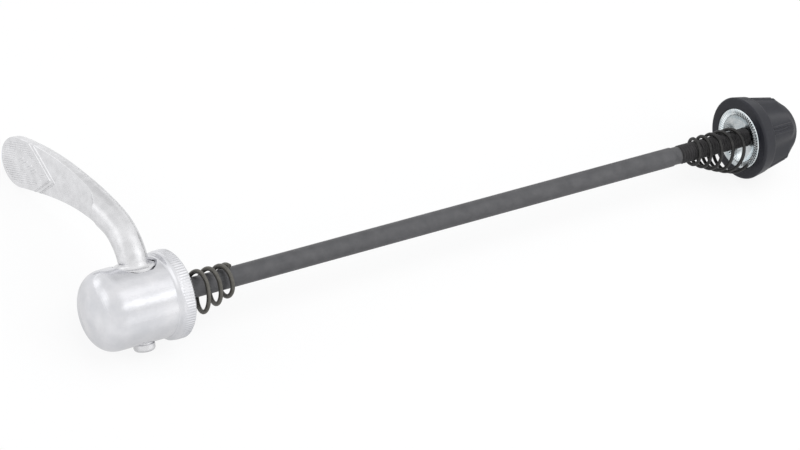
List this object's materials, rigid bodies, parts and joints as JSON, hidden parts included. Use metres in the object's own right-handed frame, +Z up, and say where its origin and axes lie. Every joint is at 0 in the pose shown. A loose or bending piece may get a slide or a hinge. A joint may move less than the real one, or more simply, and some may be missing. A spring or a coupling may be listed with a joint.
{
  "type": "quick release axle for a bicycle wheel",
  "caption": "Bicycle wheel quick release axle: enclosed cam housing with a curved lever, dark rod, two tapered springs and a lobed screw cap.",
  "frame": {"origin": "on the rod's axis, in the plane of the lever side clamping face", "axes": "+X along the rod from the lever to the nut, +Z up as the part lies on a bench"},
  "size_m": [0.2115, 0.068, 0.0246],
  "materials": {
    "satin_lever": "satin chromed forging, finely ribbed at the tip",
    "chromed_steel": "bright chrome plate with a knurled rim",
    "black_oxide_ring": "black oxide, toothed face",
    "bare_steel": "oiled turned steel",
    "phosphated_rod": "dark grey phosphate, matt",
    "blackened_wire": "blackened spring wire, slight sheen",
    "zinc_plate": "bright zinc plate, toothed ring",
    "nylon": "natural nylon",
    "black_moulding": "moulded black plastic, low gloss"
  },
  "bodies": {
    "housing": {"cam_housing": "chromed_steel", "clamp_ring": "black_oxide_ring", "lever_side_spring": "blackened_wire"},
    "lever": {"lever": "satin_lever"},
    "rod": {"skewer_rod": "phosphated_rod", "cam_follower": "bare_steel"},
    "nut_spring": {"nut_side_spring": "blackened_wire"},
    "nut": {"nut_insert": "zinc_plate", "nylon_lock_ring": "nylon", "nut_cap": "black_moulding"}
  },
  "joints": [
    {"name": "lever_turn", "type": "hinge", "parent": "housing", "child": "lever", "pos_m": [-0.0103, 0, 0], "axis": [0, 0.6436, 0.7654], "range_deg": [0, 180]},
    {"name": "cam_draw", "type": "slide", "parent": "housing", "child": "rod", "axis": [-1, 0, 0], "range_m": [0, 0.0025]},
    {"name": "nut_travel", "type": "slide", "parent": "rod", "child": "nut_spring", "axis": [1, 0, 0], "range_m": [-0.02161, 0.00481]},
    {"name": "nut_turn", "type": "hinge", "parent": "nut_spring", "child": "nut", "pos_m": [0.172, 0, 0], "axis": [1, 0, 0], "range_deg": [-9720, 2160]}
  ],
  "couplings": [
    {"joint": "cam_draw", "follows": "lever_turn", "m_per_rad": 0.00079577},
    {"joint": "nut_travel", "follows": "nut_turn", "m_per_rad": 0.00012732}
  ]
}
